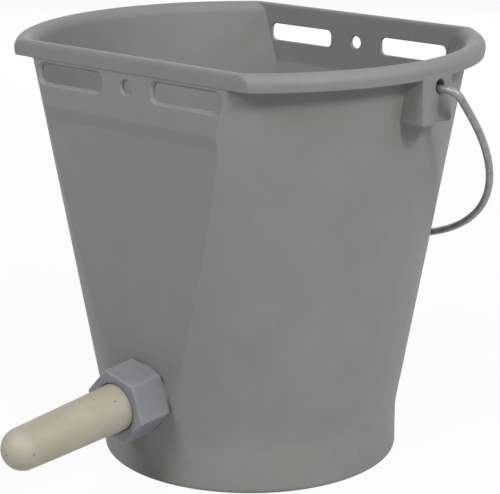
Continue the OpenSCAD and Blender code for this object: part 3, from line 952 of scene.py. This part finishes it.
def mark_edges(obj, near):
    """Marks the points where a piece is rubbed and painted lighter as a highlight, as a share from 0 to 1."""
    mark = obj.data.attributes.new("edge", "FLOAT", "POINT")
    for point, value in zip(obj.data.vertices, mark.data):
        value.value = near(np.array(point.co) / MM)
    return obj


def nut_edge(point):
    """Near a corner of the nut or its front edge, where rub and a painted highlight lighten it."""
    y, z = point[1] + PORT_Y, point[2] - PORT_Z
    across = y * math.cos(PORT_TURN) + z * math.sin(PORT_TURN)
    along = -y * math.sin(PORT_TURN) + z * math.cos(PORT_TURN) - PAD_RISE
    far = math.hypot(point[0], across)
    flat = far * math.cos((math.atan2(across, point[0]) - NUT_TURN - math.radians(30)) % math.radians(60)
                          - math.radians(30))
    if far < 17.5:
        return 0.0
    edge_band = 1.4
    corner = min(max((far - NUT_CORNER_R + 1.2) / 0.6, 0.0), 1.0)
    front = 1.0 if along > NUT_FRONT - edge_band and flat > NUT_HALF_AF - edge_band else 0.0
    return max(corner, front)


# Pieces
bucket = make_bucket()
nut = make_nut()
valve = make_valve()
washer = make_washer()
gasket = make_gasket()
ball = make_ball()
retainer = make_retainer()
teat = make_teat()
bail = make_bail()
mark_edges(nut, nut_edge)

plastic = bucket_plastic()
grey = nut_plastic()
white = valve_plastic()
black = seal_rubber()
for piece, body, node, slot, look in [
        (bucket, "bucket", "bucket_body", "bucket_plastic", plastic),
        (nut, "nut", "union_nut", "nut_plastic", grey),
        (valve, "bucket", "valve_body", "valve_plastic", white),
        (washer, "bucket", "outer_washer", "nut_plastic", grey),
        (gasket, "bucket", "inner_gasket", "seal_rubber", black),
        (ball, "ball", "valve_ball", "seal_rubber", black),
        (retainer, "bucket", "ball_retainer", "valve_plastic", white),
        (teat, "teat", "teat", "teat_rubber", teat_rubber()),
        (bail, "bail", "bail", "galvanised_wire", galvanised_wire())]:
    look.wear(piece)
    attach(piece, body)
    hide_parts(node)


# Floor, light and background
# Half the floor's width in millimetres
FLOOR_HALF = 20000
# The floor's own tone, and how far it is plain white where it is looked at
FLOOR_TONE = 0.64
FLOOR_WHITE = 0.94
# Light from all round that falls on the bucket
WORLD_LEVEL = 0.08
# The point that the lamps face, in metres
LAMP_AIM = Vector((0.0, 0.0, 0.13))


def looked_at(tree):
    """One for rays from the camera, off a shine or through glass, so that all three show the background."""
    rays = tree.nodes.new("ShaderNodeLightPath")
    seen = rays.outputs["Is Camera Ray"]
    for kind in ("Is Glossy Ray", "Is Transmission Ray"):
        either = tree.nodes.new("ShaderNodeMath")
        either.operation = "MAXIMUM"
        tree.links.new(seen, either.inputs[0])
        tree.links.new(rays.outputs[kind], either.inputs[1])
        seen = either.outputs[0]
    return seen


def make_floor():
    verts = [(x * FLOOR_HALF, y * FLOOR_HALF, 0) for x, y in ((-1, -1), (1, -1), (1, 1), (-1, 1))]
    floor = new_object("floor", verts, [(0, 1, 2, 3)])
    material = bpy.data.materials.new("floor")
    material.use_nodes = True
    tree = material.node_tree
    tree.nodes.clear()
    out = tree.nodes.new("ShaderNodeOutputMaterial")
    blend = tree.nodes.new("ShaderNodeMixShader")
    matt = tree.nodes.new("ShaderNodeBsdfDiffuse")
    matt.inputs["Color"].default_value = (FLOOR_TONE, FLOOR_TONE, FLOOR_TONE, 1.0)
    pale = tree.nodes.new("ShaderNodeEmission")
    pale.inputs["Strength"].default_value = 1.0
    share = tree.nodes.new("ShaderNodeMath")
    share.operation = "MULTIPLY"
    share.inputs[1].default_value = FLOOR_WHITE
    tree.links.new(looked_at(tree), share.inputs[0])
    tree.links.new(share.outputs[0], blend.inputs["Fac"])
    tree.links.new(matt.outputs[0], blend.inputs[1])
    tree.links.new(pale.outputs[0], blend.inputs[2])
    tree.links.new(blend.outputs[0], out.inputs["Surface"])
    floor.data.materials.append(material)


def make_world():
    world = bpy.data.worlds.new("studio")
    bpy.context.scene.world = world
    world.use_nodes = True
    tree = world.node_tree
    background = tree.nodes["Background"]
    strength = tree.nodes.new("ShaderNodeMapRange")
    strength.inputs["To Min"].default_value = WORLD_LEVEL
    strength.inputs["To Max"].default_value = 1.0
    tree.links.new(looked_at(tree), strength.inputs["Value"])
    background.inputs["Color"].default_value = (1.0, 1.0, 1.0, 1.0)
    tree.links.new(strength.outputs["Result"], background.inputs["Strength"])


def softbox(name, azimuth_deg, elevation_deg, distance, size, share, colour, glare=True):
    """A square lamp aimed at the bucket; share is the part of a plain white level that it gives."""
    lamp = bpy.data.lights.new(name, "AREA")
    lamp.shape = "SQUARE"
    lamp.size = size
    lamp.energy = share * math.pi ** 2 * distance ** 2
    lamp.color = colour
    obj = bpy.data.objects.new(name, lamp)
    bpy.context.scene.collection.objects.link(obj)
    a, e = math.radians(azimuth_deg), math.radians(elevation_deg)
    way = Vector((math.sin(a) * math.cos(e), -math.cos(a) * math.cos(e), math.sin(e)))
    obj.location = way * distance + LAMP_AIM
    obj.rotation_mode = "QUATERNION"
    obj.rotation_quaternion = (-way).to_track_quat("-Z", "Y")
    obj.visible_camera = False
    obj.visible_glossy = glare


make_floor()
make_world()
softbox("right", 74.0, 39.0, 3.6, 0.75, 0.58, (1.0, 0.96, 0.87))
softbox("front", -3.0, 44.0, 2.6, 1.05, 0.61, (0.89, 0.96, 1.0))
softbox("back_right", 118.0, 32.0, 3.0, 1.2, 0.3, (0.76, 0.89, 1.0), glare=False)
softbox("back_left", 216.0, 15.0, 1.8, 0.7, 0.58, (0.97, 0.99, 1.0), glare=False)

bpy.context.scene.view_settings.view_transform = "Standard"
